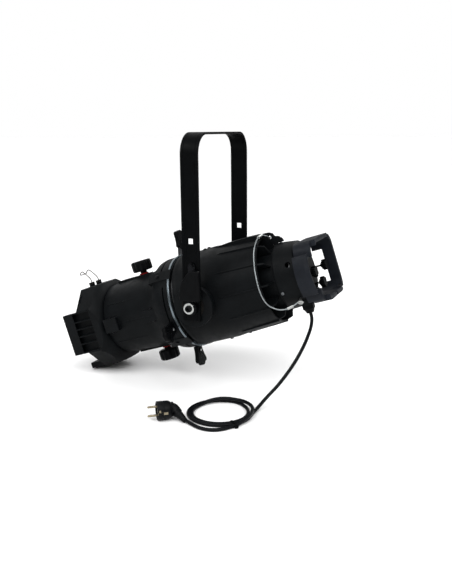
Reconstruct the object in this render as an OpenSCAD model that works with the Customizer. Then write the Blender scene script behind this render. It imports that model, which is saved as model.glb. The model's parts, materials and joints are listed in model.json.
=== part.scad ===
// Ellipsoidal (profile) stage spotlight, hung from a flat-bar yoke.
// Millimetres. The origin is the centre of the bolt hole in the yoke's top bar, +Z is up,
// the beam leaves towards -Y and the lamp tilts about an axis along X.
// Everything that tilts is drawn in the lamp frame: X across, Y along the optical axis
// towards the lamp cap, Z up, with the pivot at its origin. tilted() puts it in place.

/* [Yoke] */
// Outer width of the yoke
yoke_w = 275; // [260:1:320]
// Height of the middle of the yoke's top bar above the tilt pivot
yoke_h = 360; // [350:1:420]
// Width of the flat bar
bar_w = 40; // [30:1:50]
// Thickness of the flat bar
bar_t = 5; // [4:0.5:8]
// Outer radius of the two bends
bend_r = 45; // [30:1:60]
// Length of leg below the pivot
leg_below = 30; // [22:1:40]
// Radius of the hanging bolt hole
hang_hole_r = 6.5; // [5:0.5:8]

/* [Tilt] */
// Tilt of the lamp end above the horizontal
tilt_rest = 18; // [0:1:40]
// Radius of the pivot bolts
pivot_r = 6; // [4:0.5:7]
// Radius of the friction discs
disc_r = 45; // [36:1:48]

/* [Housing] */
// Radius of the reflector housing at its front half
housing_r = 106; // [100:1:108]
// Radius of the housing's rear rim
housing_rear_r = 96; // [90:1:98]
// Front end of the housing along the optical axis
housing_front = -55; // [-58:1:-50]
// Rear rim of the housing along the optical axis
housing_rear = 148; // [140:1:155]
// Number of cooling fins
fin_count = 12; // [8:1:16]

/* [Lamp cap] */
// Radius of the neck behind the housing
neck_r = 66; // [60:1:70]
// Radius of the lamp cap at its front
cap_r = 74; // [72:1:78]
// Rear face of the lamp cap along the optical axis
cap_rear = 222; // [216:1:226]
// Outer width of the rear guard
guard_w = 160; // [150:1:166]
// Outer height of the rear guard
guard_h = 134; // [130:1:142]

/* [Barrel] */
// Outer radius of the barrel
barrel_r = 87; // [85:1:90]
// Outer radius of the barrel's gate flange
gate_r = 107; // [104:1:108]
// Front end of the barrel along the optical axis
barrel_front = -262; // [-270:1:-255]

/* [Front holder] */
// Width of colour frame that the front holder takes
frame_w = 185; // [180:1:190]
// Front end of the holder along the optical axis
holder_front = -366; // [-370:1:-360]

/* [Cord] */
// Diameter of the mains cord
cord_d = 7.5; // [6:0.5:9]
// Radius of the coil at the middle of its turns
coil_r = 64; // [60:1:70]

/* [Hidden] */
$fn = 96;
gap = 0.3;

yoke_in = yoke_w / 2 - bar_t;
groove_inset = 6;
groove_w = 1.2;
groove_d = 0.7;
square_hole = 12;
square_hole_z = 141 - yoke_h;

wall = 3.5;
pivot_clear = 0.06;
disc_face = yoke_in - 1.6;
gate_ring_y = -64;
knob_y = -171;
lens_r = 77.5;
holder_half = frame_w / 2 + 4.5;
side_half = 51;
lip_w = 27;
body_edge = -325;
window_edge = -290;
cap_front = 173;
stem_y = 246;
align_xz = [[38, -2], [-43, -1], [0, -32]];

floor_z = -567;
cord_r = cord_d / 2;
coil_x = 191;
coil_y = 87;
plug_x = 259;
plug_y = -10;
plug_turn = 38;

// Route of the cord from the gland down to the coil
drop_route = [
    [30, 230.2, -376], [30.5, 233, -386], [32, 233.5, -397], [35, 232, -410], [39.5, 228.5, -424],
    [46, 223, -442], [54, 216.5, -459], [63, 208.5, -477], [74, 199.5, -494], [86, 190, -510],
    [98, 180, -525], [111, 169.5, -538], [126, 161, -549], [141, 155.5, -557], [157, 152, -562]
];
// Route of the cord from the coil to the plug
tail_route = [
    [241, 139.5, -563.2], [252, 134.5, -563.2], [263, 127, -563.2], [272, 117.5, -563.2],
    [277.5, 106, -563.2], [279, 93, -563.2], [277, 80, -563.2], [272, 67, -563],
    [266, 54.5, -562.2], [260.5, 43.5, -561.2]
];
// Route of the safety wire from the ear to its screw on the lamp cap, in the lamp frame
wire_route = [
    [-6, 163, 91], [6, 163, 91.5], [14, 161, 96], [26, 156, 101], [42, 153, 99], [62, 151, 89],
    [80, 150, 75], [94, 150, 58], [103, 149, 38], [106.5, 148, 14], [105, 147, -6],
    [100, 148, -26], [92, 153, -43], [83, 167, -56], [74, 182, -60], [66, 194, -58],
    [59, 201, -55.5], [54.5, 204, -52.6]
];

// ---------- helpers ----------

// Places the lamp frame in the yoke
module tilted() {
    translate([0, 0, -yoke_h])
        rotate([tilt_rest, 0, 0])
            children();
}

// Solid of revolution about the optical axis; points are [radius, place along the axis]
module turned(points) {
    rotate([-90, 0, 0])
        rotate_extrude()
            polygon(points);
}

// Cylinder along the optical axis from y0 to y1
module along(r, y0, y1) {
    translate([0, y0, 0])
        rotate([-90, 0, 0])
            cylinder(r = r, h = y1 - y0);
}

// Cylinder along X from x0 to x1
module across(r, x0, x1) {
    translate([x0, 0, 0])
        rotate([0, 90, 0])
            cylinder(r = r, h = x1 - x0);
}

// Ring along the optical axis
module ring(r_out, r_in, y0, y1) {
    difference() {
        along(r_out, y0, y1);
        along(r_in, y0 - 1, y1 + 1);
    }
}

// Plate across the optical axis, from a flat outline in X and Z
module slab(y0, y1) {
    translate([0, y1, 0])
        rotate([90, 0, 0])
            linear_extrude(y1 - y0)
                children();
}

// Places children around the optical axis; 0 is the near side (+X), 90 is the top
module around(angle) {
    rotate([0, -angle, 0])
        children();
}

// Rounded rectangle outline with corner arcs
function corner_arc(cx, cy, r, a0, n) =
    [for (i = [0:n]) [cx + r * cos(a0 + i * 90 / n), cy + r * sin(a0 + i * 90 / n)]];
function round_rect(w, h, r) = concat(
    corner_arc(w / 2 - r, h / 2 - r, r, 0, 8), corner_arc(r - w / 2, h / 2 - r, r, 90, 8),
    corner_arc(r - w / 2, r - h / 2, r, 180, 8), corner_arc(w / 2 - r, r - h / 2, r, 270, 8)
);

// Tube swept along a route of points; each ring's cross direction is carried from the last
function unit(v) = v / norm(v);
function heading(p, i) = unit(p[min(i + 1, len(p) - 1)] - p[max(i - 1, 0)]);
function square_to(v, d) = unit(v - (v * d) * d);
function carried(p, i) =
    i == 0 ? square_to(abs(heading(p, 0)[0]) < 0.8 ? [1, 0, 0] : [0, 0, 1], heading(p, 0))
           : square_to(carried(p, i - 1), heading(p, i));
module swept(route, r, sides) {
    last = len(route) - 1;
    across_dirs = [for (i = [0:last]) carried(route, i)];
    points = [
        for (i = [0:last], k = [0:sides - 1])
            let (u = across_dirs[i], w = cross(heading(route, i), u))
                route[i] + r * (cos(360 * k / sides) * u + sin(360 * k / sides) * w)
    ];
    side_faces = [
        for (i = [0:last - 1], k = [0:sides - 1], half = [0, 1])
            let (a = i * sides + k, b = i * sides + (k + 1) % sides)
                half == 0 ? [a, b + sides, b] : [a, a + sides, b + sides]
    ];
    start_face = [for (k = [0:sides - 1]) k];
    end_face = [for (k = [sides - 1:-1:0]) last * sides + k];
    polyhedron(points, concat(side_faces, [start_face, end_face]));
}

// ---------- yoke and tilt lock ----------

// Bar cross-section run round the U, inset from the outer face
module yoke_run(inset, t, x0, w) {
    r = bend_r - inset;
    half = yoke_w / 2 - bend_r;
    for (side = [-1, 1]) {
        translate([side > 0 ? yoke_w / 2 - inset - t : inset - yoke_w / 2, x0, -yoke_h - leg_below])
            cube([t, w, yoke_h + leg_below + bar_t / 2 - bend_r]);
        translate([side * half, x0, bar_t / 2 - bend_r])
            rotate([-90, 0, 0])
                intersection() {
                    difference() {
                        cylinder(r = r, h = w);
                        translate([0, 0, -1])
                            cylinder(r = r - t, h = w + 2);
                    }
                    translate([side > 0 ? 0 : -bend_r, -bend_r, -1])
                        cube([bend_r, bend_r, w + 2]);
                }
    }
    translate([-half, x0, bar_t / 2 - inset - t])
        cube([2 * half, w, t]);
}

module yoke() {
    color("#1a1a1c")
        difference() {
            yoke_run(0, bar_t, -bar_w / 2, bar_w);
            for (y = [groove_inset - bar_w / 2, bar_w / 2 - groove_inset - groove_w])
                for (inset = [-1, bar_t - groove_d])
                    yoke_run(inset, 1 + groove_d, y, groove_w);
            translate([0, 0, -bar_t])
                cylinder(r = hang_hole_r, h = 2 * bar_t);
            for (side = [-1, 1]) {
                translate([side * (yoke_in + bar_t / 2), 0, square_hole_z])
                    cube([3 * bar_t, square_hole, square_hole], center = true);
                translate([side * yoke_in - bar_t, 0, -yoke_h])
                    across(pivot_r + pivot_clear, 0, 3 * bar_t);
            }
        }
}

lever_x = yoke_w / 2 + gap;

module lever_arm() {
    color("#8a8c8e")
        translate([0, 0, -yoke_h])
            difference() {
                union() {
                    across(15, lever_x, lever_x + 9);
                    translate([lever_x, -5, 8])
                        cube([4, 16, 80]);
                    translate([lever_x, 3, 88])
                        across(8, 0, 4);
                }
                across(pivot_r + pivot_clear, lever_x - 1, lever_x + 12);
            }
}

// Leaf-shaped grip outline: Y across, Z up from the pivot
grip_outline = [
    [-21, 18], [-21, 30], [-19, 44], [-14, 58], [-6, 70], [2, 78], [12, 82], [22, 81], [25, 76],
    [26, 60], [27, 40], [27, 20], [24, 17], [-18, 16]
];
module lever_grip() {
    color("#0c0c0d")
        translate([lever_x + 4, 0, -yoke_h])
            rotate([90, 0, 90])
                linear_extrude(13)
                    polygon(grip_outline);
}

module lever_pin() {
    color("#c8c8c8")
        translate([0, 4, 91 - yoke_h])
            across(3.5, lever_x + 4, lever_x + 9);
}

// ---------- reflector housing ----------

housing_outer = [
    [housing_r + 1.5, housing_front], [housing_r + 1.5, housing_front + 8],
    [housing_r, housing_front + 11], [housing_r, 30], [housing_r - 3.5, 60],
    [housing_r - 6, 90], [housing_r - 8, 120], [housing_rear_r, housing_rear - 6],
    [housing_rear_r, housing_rear]
];
housing_inner = [
    [housing_rear_r - wall, housing_rear], [housing_r - 8 - wall, 120], [housing_r - 6 - wall, 90],
    [housing_r - 3.5 - wall, 60], [housing_r - wall, 30], [housing_r - wall, housing_front]
];
back_wall = 112;

module fin(angle) {
    around(angle)
        slab_fin();
}
module slab_fin() {
    translate([0, 0, -1.5])
        linear_extrude(3)
            polygon([
                [neck_r - 1, back_wall], [housing_rear_r - 1, back_wall], [housing_rear_r - 1, 148],
                [housing_rear_r - 6, 162], [neck_r - 1, 168]
            ]);
    translate([0, 0, -1.2])
        linear_extrude(2.4)
            polygon([
                [housing_r - 4, 44], [housing_r - 1.4, 60], [housing_r - 3.4, 90],
                [housing_r - 5, 120], [housing_rear_r + 3, housing_rear],
                [housing_rear_r - 2, housing_rear], [housing_r - 10, 100], [housing_r - 6, 60]
            ]);
}

module reflector_housing() {
    color("#232528")
        tilted()
            difference() {
                union() {
                    turned(concat(housing_outer, housing_inner));
                    ring(housing_rear_r, neck_r - 1, back_wall, back_wall + 4);
                    ring(neck_r, neck_r - wall, back_wall, cap_front + 6);
                    for (i = [0:fin_count - 1])
                        fin(i * 360 / fin_count);
                    for (side = [-1, 1])
                        across(34, side > 0 ? 99 : -108, side > 0 ? 108 : -99);
                    // flat ridge along the top
                    translate([-20, 0, 0])
                        rotate([90, 0, 90])
                            linear_extrude(40)
                                polygon([
                                    [36, 104], [60, 105.5], [104, 105.5], [134, 104], [148, 101],
                                    [148, 93], [120, 95.5], [90, 97.5], [60, 100], [36, 102.4]
                                ]);
                    // top ear for the safety wire
                    translate([-3, 0, 0])
                        rotate([90, 0, 90])
                            linear_extrude(6)
                                polygon([
                                    [126, 92], [140, 101], [152, 103], [163, 102], [171, 98],
                                    [174, 91], [182, 89], [189, 83], [192, 75], [166, 75],
                                    [166, 62], [126, 62]
                                ]);
                }
                translate([-10, 163, 91])
                    across(3.5, 0, 20);
                screw_heads(4.05);
                // seat of the reflector's rim
                along(102.02, 0, 2);
                for (side = [-1, 1])
                    across(pivot_r, side > 0 ? 90 : -110, side > 0 ? 110 : -90);
                for (a = [15, 75, 105, 165, 195, 255, 285, 345])
                    around(a)
                        translate([80, back_wall - 1, -6])
                            cube([8, 6, 12]);
            }
}

// Ellipse that carries light from the lamp to the gate
function bowl(y) = 92 * sqrt(1 - pow((y + 20) / 145, 2));
bowl_steps = 14;
module reflector() {
    color("#d8d6cc")
        tilted()
            turned(concat(
                [for (i = [0:bowl_steps]) let (y = 2 + i * 104 / bowl_steps) [bowl(y), y]],
                [for (i = [bowl_steps:-1:0]) let (y = 2 + i * 104 / bowl_steps) [bowl(y) + 1.6, y]],
                [[102, 2], [102, 0], [bowl(2) - 0.5, 0]]
            ));
}

module pivot_disc(x0, x1) {
    difference() {
        union() {
            across(disc_r, x0 < 0 ? x0 : x1 - 6, x0 < 0 ? x0 + 6 : x1);
            across(disc_r - 4, x0, x1);
        }
        across(pivot_r, x0 - 1, x1 + 1);
    }
}
module pivot_disc_near() {
    color("#1e2022")
        tilted()
            pivot_disc(108, disc_face);
}
module pivot_disc_far() {
    color("#1e2022")
        tilted()
            pivot_disc(-disc_face, -108);
}

module friction_washers() {
    color("#3a3632")
        tilted()
            for (side = [-1, 1])
                difference() {
                    across(26, min(side * disc_face, side * (disc_face + 1.3)),
                        max(side * disc_face, side * (disc_face + 1.3)));
                    across(pivot_r, -200, 200);
                }
}

head_x = lever_x + 9 + gap;
module pivot_screw_near() {
    color("#2a2a2c")
        tilted()
            difference() {
                union() {
                    across(pivot_r, 102.3, head_x + 2);
                    across(7, head_x + 2, head_x + 9);
                }
                rotate([0, 90, 0])
                    translate([0, 0, head_x + 4])
                        cylinder(r = 4, h = 6, $fn = 6);
            }
}
module pivot_ring_near() {
    color("#e8e8e8")
        tilted()
            difference() {
                across(12, head_x, head_x + 5);
                across(pivot_r, head_x - 1, head_x + 2);
                across(7, head_x + 2, head_x + 6);
            }
}
module pivot_bolt_far() {
    far_x = -yoke_w / 2 - gap;
    color("#2a2a2c")
        tilted() {
            across(pivot_r, far_x, -102.3);
            across(12, far_x - 2, far_x);
            rotate([0, 90, 0])
                translate([0, 0, far_x - 9])
                    cylinder(r = 10, h = 7, $fn = 6);
        }
}

module screw_heads(r) {
    for (a = [84, 96, 264, 276])
        around(a)
            translate([housing_r, 8, 0])
                across(r, -2, 2.5);
    around(270)
        translate([housing_r - 2.5, 52, 0])
            across(r, -2, 2.5);
}
module housing_screws() {
    color("#1c1c1e")
        tilted()
            screw_heads(4);
}

// ---------- lamp cap, guard and lamp ----------

cap_outer = [
    [cap_r - 2, cap_front], [cap_r, cap_front + 2], [cap_r - 1, cap_front + 17],
    [cap_r - 5, cap_rear - 4], [cap_r - 9, cap_rear]
];
cap_inner = [
    [12, cap_rear], [12, cap_rear - 3], [cap_r - 12, cap_rear - 3], [cap_r - 8.5, cap_rear - 9.5],
    [cap_r - 5.5, cap_front + 10], [neck_r + 0.2, cap_front + 8], [neck_r + 0.2, cap_front]
];
tether_angle = -44;
tether_y = 209;
gland_x = 30;
gland_y = 214;

module lamp_cap() {
    color("#26282b")
        tilted()
            difference() {
                union() {
                    turned(concat(cap_outer, cap_inner));
                    translate([gland_x, gland_y, -68])
                        cylinder(r = 14, h = 13);
                }
                translate([gland_x, gland_y, -80])
                    cylinder(r = 6, h = 30);
                around(24)
                    translate([58, 207, 0])
                        across(6, 0, 30);
                for (p = align_xz)
                    translate([p[0], 0, p[1]])
                        along(2.6, cap_rear - 10, cap_rear + 10);
                around(tether_angle)
                    translate([60, tether_y, 0])
                        across(3.05, 0, 30);
                cap_heads(3.55);
            }
}

module cap_heads(r) {
    for (a = [-22, 98, 218])
        around(a)
            translate([cap_r - 1, cap_front + 7, 0])
                across(r, -1.5, 2);
}
module cap_screws() {
    color("#b8b8b8")
        tilted()
            cap_heads(3.5);
}

// The guard is a rounded frame: a deep part with notched rear corners and an open window on
// its far side, and a bulged near wall that stands back from the others
guard_rear = 270;
guard_t = 9;
near_rear = 254;
module guard_form(inset, y0, y1, near_y1) {
    r = guard_w / 2 + 2 - inset;
    translate([-12, 0, -2])
        slab(y0, y1)
            polygon(round_rect(guard_w - 24 - 2 * inset, guard_h - 2 * inset, 26 - inset / 2));
    intersection() {
        turned([[0, y0], [r, y0], [r, near_y1 - 6], [r - 5, near_y1], [0, near_y1]]);
        translate([0, y0, inset - 46])
            cube([guard_w, near_y1 - y0, 86 - 2 * inset]);
    }
}
module rear_guard() {
    color("#2b2d31")
        tilted() {
            difference() {
                guard_form(0, cap_rear, guard_rear, near_rear);
                guard_form(guard_t, cap_rear - 1, guard_rear + 1, guard_rear + 1);
                // the near ends of the top and bottom stand back too
                translate([40, near_rear + 5, -guard_h])
                    cube([40, 20, 2 * guard_h]);
                // window on the far side
                translate([-guard_w / 2 - 1, cap_rear - 1, -43])
                    cube([guard_t + 4, 24, 74]);
                // slots in the rear corners
                for (a = [36, 136, 222, 258])
                    around(a)
                        translate([45, guard_rear - 10, -3])
                            cube([60, 11, 6]);
                // the gland passes in front of the lower wall
                translate([gland_x - 16, cap_rear - 1, -guard_h])
                    cube([32, 11, guard_h - 50]);
            }
            // four brackets that hold the frame on the cap
            for (x = [-30, 30], side = [-1, 1])
                if (x < 0 || side > 0)
                    guard_bracket(x, side);
            guard_bracket(2, -1);
        }
}
module guard_bracket(x, side) {
    difference() {
        translate([x - 7, cap_rear, side > 0 ? 46 : -64])
            cube([14, 5, side > 0 ? 14 : 18]);
        translate([x, 0, side * 52])
            along(2, cap_rear - 1, cap_rear + 6);
    }
}

module lamp_carrier() {
    color("#b4b6b8")
        tilted()
            difference() {
                ring(58, 14, 203, 206);
                for (p = align_xz)
                    translate([p[0], 0, p[1]])
                        along(2.1, 200, 210);
            }
}

module carrier_springs() {
    color("#c9cacc")
        tilted()
            for (p = align_xz)
                translate([p[0], 0, p[1]])
                    ring(5, 3.4, 206, cap_rear - 3);
}

module lamp_socket() {
    color("#e9e4d6")
        tilted()
            difference() {
                union() {
                    along(20, 165, 203);
                    along(13.5, 203, 212);
                }
                for (x = [-4.75, 4.75])
                    translate([x, 0, 0])
                        along(1.6, 164, 185);
            }
}

module lamp_base() {
    color("#dcdcdc")
        tilted() {
            along(17, 148, 165);
            for (x = [-4.75, 4.75])
                translate([x, 0, 0])
                    along(1.55, 165, 183);
        }
}

module lamp_bulb() {
    color("#dfe8ee")
        tilted()
            turned([[0, 148], [9, 148], [9.5, 140], [9.5, 96], [7, 89], [3, 86], [0, 85.5]]);
}

module terminal_block() {
    color("#d9d3c2")
        tilted()
            translate([11, 209, -48.5])
                cube([27, 10, 11.5]);
}

module earth_screw() {
    color("#d2d2cc")
        tilted()
            translate([16, 0, -24]) {
                along(9, cap_rear, cap_rear + 2);
                along(5, cap_rear + 2, cap_rear + 6);
            }
}

module cable_gland() {
    color("#0e0e0f")
        tilted()
            translate([gland_x, gland_y, 0])
                rotate([180, 0, 0])
                    difference() {
                        union() {
                            translate([0, 0, 68])
                                cylinder(r = 14, h = 9, $fn = 6);
                            translate([0, 0, 77])
                                cylinder(r1 = 12, r2 = 8, h = 9);
                            translate([0, 0, 52])
                                cylinder(r = 6, h = 16);
                        }
                        translate([0, 0, 50])
                            cylinder(r = cord_r + 0.05, h = 40);
                    }
}

// Lobed alignment knob on its threaded stem
module align_knob(p) {
    tilted()
        translate([p[0], 0, p[1]]) {
            along(2, 203.5, stem_y);
            along(5, stem_y - 4, stem_y);
            difference() {
                along(12, stem_y, stem_y + 10);
                for (a = [0:60:300])
                    rotate([0, a, 0])
                        translate([14.5, 0, 0])
                            along(4.5, stem_y - 1, stem_y + 11);
            }
        }
}
module align_knob_near() {
    color("#111113")
        align_knob(align_xz[0]);
}
module align_knob_far() {
    color("#111113")
        align_knob(align_xz[1]);
}
module align_knob_low() {
    color("#111113")
        align_knob(align_xz[2]);
}

// ---------- safety wire ----------

wire_r = 1.6;
module safety_wire() {
    color("#e4e6e8")
        tilted()
            swept(wire_route, wire_r, 8);
}

// Ferrule around the straight stretch between two points of the wire
module ferrule(a, b, r) {
    d = b - a;
    translate(a)
        rotate([0, acos(d[2] / norm(d)), atan2(d[1], d[0])])
            difference() {
                cylinder(r = r, h = norm(d));
                translate([0, 0, -1])
                    cylinder(r = wire_r + 0.05, h = norm(d) + 2);
            }
}
module wire_ferrules() {
    color("#2a2c2e")
        tilted() {
            ferrule(wire_route[3], wire_route[4], 3.4);
            ferrule(wire_route[14], wire_route[15], 3.2);
        }
}

module wire_screw() {
    color("#e6e2d2")
        tilted()
            around(tether_angle)
                translate([0, tether_y, 0]) {
                    across(3, 66, 82);
                    across(6.5, 79, 82);
                }
}

// ---------- barrel and gate ----------

barrel_outer = [
    [barrel_r - 3, barrel_front], [barrel_r - 1, barrel_front + 22], [barrel_r + 1, -150],
    [barrel_r + 2, -138], [barrel_r + 5, -127], [gate_r - 8, -115], [gate_r - 3, -107],
    [gate_r - 0.5, -97], [gate_r, -88], [gate_r, -70]
];
barrel_inner = [
    [gate_r - wall, -70], [gate_r - wall, -98], [gate_r - 8, -107], [barrel_r - 2, -122],
    [barrel_r - 4, -132], [barrel_r - 5, -150], [barrel_r - 6, barrel_front]
];

// One seam lug at place y, length l, standing out to x; side is +1 above the seam, -1 below
module seam_lug(y, l, x, h, side) {
    difference() {
        translate([barrel_r - 6.5, y, side > 0 ? 0 : -h])
            cube([x - barrel_r + 6.5, l, h]);
        translate([x - 5, y + l / 2, side > 0 ? -1 : -h - 1])
            cylinder(r = 2.1, h = h + 2);
    }
}

// Seam screws: place along the barrel, distance from the axis, height of the lug
seam_screws = [[-241, 92, 16], [-126, 93, 13]];

module barrel_shell(side) {
    difference() {
        union() {
            intersection() {
                turned(concat(barrel_outer, barrel_inner));
                translate([-150, -300, side > 0 ? 0 : -150])
                    cube([300, 300, 150]);
            }
            for (m = [0, 1])
                mirror([m, 0, 0]) {
                    seam_lug(-259, 36, 97, 16, side);
                    seam_lug(-148, 44, 98, 13, side);
                    around(side * 32)
                        translate([barrel_r - 2.5, -250, -1])
                            cube([3.2, 104, 2]);
                }
            // pad on which the focus knob slides
            translate([-16, knob_y - 68, side > 0 ? 80 : -89.5])
                cube([32, 84, 9.5]);
            // lugs that clamp the gate ring
            for (a = [46, 134])
                around(side * a) {
                    translate([93, -118, -13])
                        cube([15.5, 46, 26]);
                    translate([98, -72.5, -13])
                        cube([10.5, 11.5, 26]);
                }
        }
        // slot in which the focus knob's stem slides
        translate([0, 0, side > 0 ? 84 : -84])
            slot_cut();
        for (shutter = [0:3])
            shutter_slot(shutter);
        along(barrel_r - 7, -270, -71);
        along(gate_r - wall, -99, -70);
        // holes and spot faces for the seam screws
        for (x = [-1, 1], p = seam_screws)
            translate([x * p[1], p[0], 0]) {
                translate([0, 0, -30])
                    cylinder(r = 2.1, h = 60);
                for (z = [p[2], -p[2] - 3.5])
                    translate([0, 0, z])
                        cylinder(r = 4.1, h = 3.5);
            }
    }
}

slot_half = 5.2;
module slot_cut() {
    for (y = [knob_y - 52, knob_y])
        translate([0, y, -12])
            cylinder(r = slot_half, h = 24);
    translate([-slot_half, knob_y - 52, -12])
        cube([2 * slot_half, 52, 24]);
}

// Each shutter slides at its own level between the plates: far, top, bottom, near
shutter_levels = [-93, -89, -85, -81];
slot_angles = [180, 90, 270, 0];
slot_halves = [54, 62, 62, 54];
// Arc in the gate flange through which a shutter comes out
module shutter_slot(i) {
    around(slot_angles[i])
        translate([80, shutter_levels[i] - 1.5, -slot_halves[i]])
            cube([40, 3, 2 * slot_halves[i]]);
}

module barrel_upper() {
    color("#25272a")
        tilted()
            barrel_shell(1);
}
module barrel_lower() {
    color("#25272a")
        tilted()
            barrel_shell(-1);
}

module barrel_screws() {
    color("#1b1b1d")
        tilted() {
            for (x = [-1, 1]) {
                for (p = seam_screws)
                    translate([x * p[1], p[0], 0]) {
                        translate([0, 0, -p[2]])
                            cylinder(r = 2.05, h = 2 * p[2]);
                        translate([0, 0, p[2]])
                            cylinder(r = 4, h = 3);
                        translate([0, 0, -p[2] - 3])
                            cylinder(r = 4, h = 3);
                    }
            }
            for (a = [46, 134, 226, 314])
                around(a)
                    translate([0, -96, 0])
                        across(4.5, 108.5, 111);
        }
}

// Ring between the barrel and the housing, with a bright rim and a spigot in the housing's mouth
module gate_ring() {
    color("#eceef0")
        tilted()
            difference() {
                union() {
                    ring(98, 39, -70, -57);
                    ring(109, 97, -68, -63);
                    ring(102.2, 90, -60, -44);
                }
                for (a = [46, 134, 226, 314])
                    around(a)
                        translate([97.7, -80, -13.3])
                            cube([20, 19.4, 26.6]);
            }
}

// Pair of plates between which the four shutters slide
module shutter_plates() {
    color("#8d8f92")
        tilted()
            for (y = [-98, -76])
                ring(gate_r - wall - 0.2, 40, y, y + 1.5);
}

// ---------- shutters ----------

blade_t = 1;
top_angle = 116;
top_out = 30;
bottom_angle = 276;
near_angle = -20;
far_angle = 184;

// Steel blade reaching from the beam's edge out to the handle
module shutter_blade(level, angle, out) {
    tilted()
        translate([0, shutter_levels[level], 0])
            around(angle)
                slab(-blade_t / 2, blade_t / 2)
                    polygon([
                        [20 + out, -42], [50 + out, -42], [66 + out, -14], [104 + out, -12],
                        [120 + out, -12], [120 + out, 12], [104 + out, 12], [66 + out, 14],
                        [50 + out, 42], [20 + out, 42]
                    ]);
}

// Moulded handle with a three-lobed tip, pinned through the blade
module shutter_handle(level, angle, out) {
    tilted()
        translate([0, shutter_levels[level], 0])
            around(angle)
                translate([out, 0, 0])
                    difference() {
                        union() {
                            slab(-5, 5)
                                polygon([
                                    [107, -12.6], [118, -13], [128, -15.5], [137, -20],
                                    [142, -20.5], [146, -17], [147, -11], [151, -8], [153, -4],
                                    [153, 4], [151, 8], [147, 11], [146, 17], [142, 20.5],
                                    [137, 20], [128, 15.5], [118, 13], [107, 12.6]
                                ]);
                            translate([117, 0, 0])
                                along(4.5, -6, 6);
                        }
                        translate([100, -blade_t / 2, -12])
                            cube([20, blade_t, 24]);
                    }
}

module shutter_blade_top() {
    color("#b9bcc0")
        shutter_blade(1, top_angle, top_out);
}
module shutter_blade_bottom() {
    color("#b9bcc0")
        shutter_blade(2, bottom_angle, 0);
}
module shutter_blade_near() {
    color("#b9bcc0")
        shutter_blade(3, near_angle, 0);
}
module shutter_blade_far() {
    color("#b9bcc0")
        shutter_blade(0, far_angle, 0);
}
module shutter_handle_top() {
    color("#151517")
        shutter_handle(1, top_angle, top_out);
}
module shutter_handle_bottom() {
    color("#151517")
        shutter_handle(2, bottom_angle, 0);
}
module shutter_handle_near() {
    color("#151517")
        shutter_handle(3, near_angle, 0);
}
module shutter_handle_far() {
    color("#151517")
        shutter_handle(0, far_angle, 0);
}

// ---------- lens tube and front holder ----------

module lens_tube() {
    color("#202224")
        tilted()
            difference() {
                union() {
                    ring(lens_r, lens_r - 2.5, -266, -140);
                    ring(lens_r, lens_r - 8, -262, -259);
                    ring(lens_r, lens_r - 8, -206, -203);
                    for (side = [-1, 1])
                        translate([0, knob_y, side > 0 ? 70 : -78])
                            cylinder(r = 5.8, h = 8);
                }
                translate([0, knob_y, -100])
                    cylinder(r = 3, h = 200);
                along(lens_r - 8.5, -270, -130);
            }
}

// Square front with cut corners; c is the half width, s the half side
function cut_square(c, s) =
    [[c, -s], [c, s], [s, c], [-s, c], [-c, s], [-c, -s], [-s, -c], [s, -c]];

holder_flare = [
    [0, -420], [125, -420], [125, -298], [109, -290], [106, -282], [101, -274], [94, -268],
    [barrel_r - 2, -263.5], [0, -263.5]
];
holder_flare_in = [
    [0, -420], [120, -420], [120, -300], [104, -291], [98, -282], [91, -276], [80, -272],
    [lens_r, -270], [lens_r, -266.5], [0, -266.5]
];

module holder_outer() {
    intersection() {
        slab(body_edge, -250)
            polygon(cut_square(holder_half, side_half));
        turned(holder_flare);
    }
}
module holder_inner() {
    intersection() {
        slab(holder_front - 10, -250)
            polygon(cut_square(holder_half - wall, side_half - 1.5));
        turned(holder_flare_in);
    }
    along(lens_r - 2.5, -280, -250);
    along(lens_r + 0.02, -266, -250);
}

// Lip that guides the colour frame, with the ribs that join it to the holder
rib_count = 6;
module frame_lip() {
    translate([holder_half - wall, holder_front, -50])
        cube([wall, lip_w, 100]);
    translate([holder_half - 14, holder_front, -50])
        cube([14, 3, 100]);
    // inner wall that the ribs stand on
    translate([holder_half - 14, holder_front, -50])
        cube([2.2, window_edge - holder_front + 4, 100]);
    for (z = [-50, 47])
        translate([holder_half - 13, holder_front, z])
            cube([13, window_edge - holder_front + 2, 3]);
    for (i = [1:rib_count - 2])
        translate([holder_half - 13, holder_front + 14, -46 + i * 89.5 / (rib_count - 1)])
            cube([13, window_edge - holder_front - 10, 2.5]);
}

module front_holder() {
    color("#2a2c2f")
        tilted()
            union() {
                difference() {
                    holder_outer();
                    holder_inner();
                    for (a = [0, 180, 270])
                        around(a)
                            translate([holder_half - 10, body_edge - 1, -side_half + 1])
                                cube([20, window_edge - body_edge + 1, 2 * side_half - 2]);
                    // recess in the near upper corner
                    around(45)
                        translate([(holder_half + side_half) / sqrt(2) - 2.2, body_edge + 3, -12])
                            cube([40, 7, 24]);
                }
                for (a = [0, 180, 270])
                    around(a)
                        frame_lip();
                difference() {
                    ring(barrel_r - 2.5, lens_r - 0.5, -270, -263.5);
                    along(lens_r + 0.02, -266, -260);
                }
                for (x = [-21, -10.4, 8.4, 19])
                    clip_ear(x);
            }
}

// Ear with the hole in which the colour clip turns
clip_y = -314;
clip_z = 103.2;
module clip_ear(x) {
    difference() {
        translate([x, clip_y - 4, 95])
            cube([2, 8, 12]);
        translate([0, clip_y, clip_z])
            across(1.26, x - 1, x + 3);
    }
}

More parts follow.
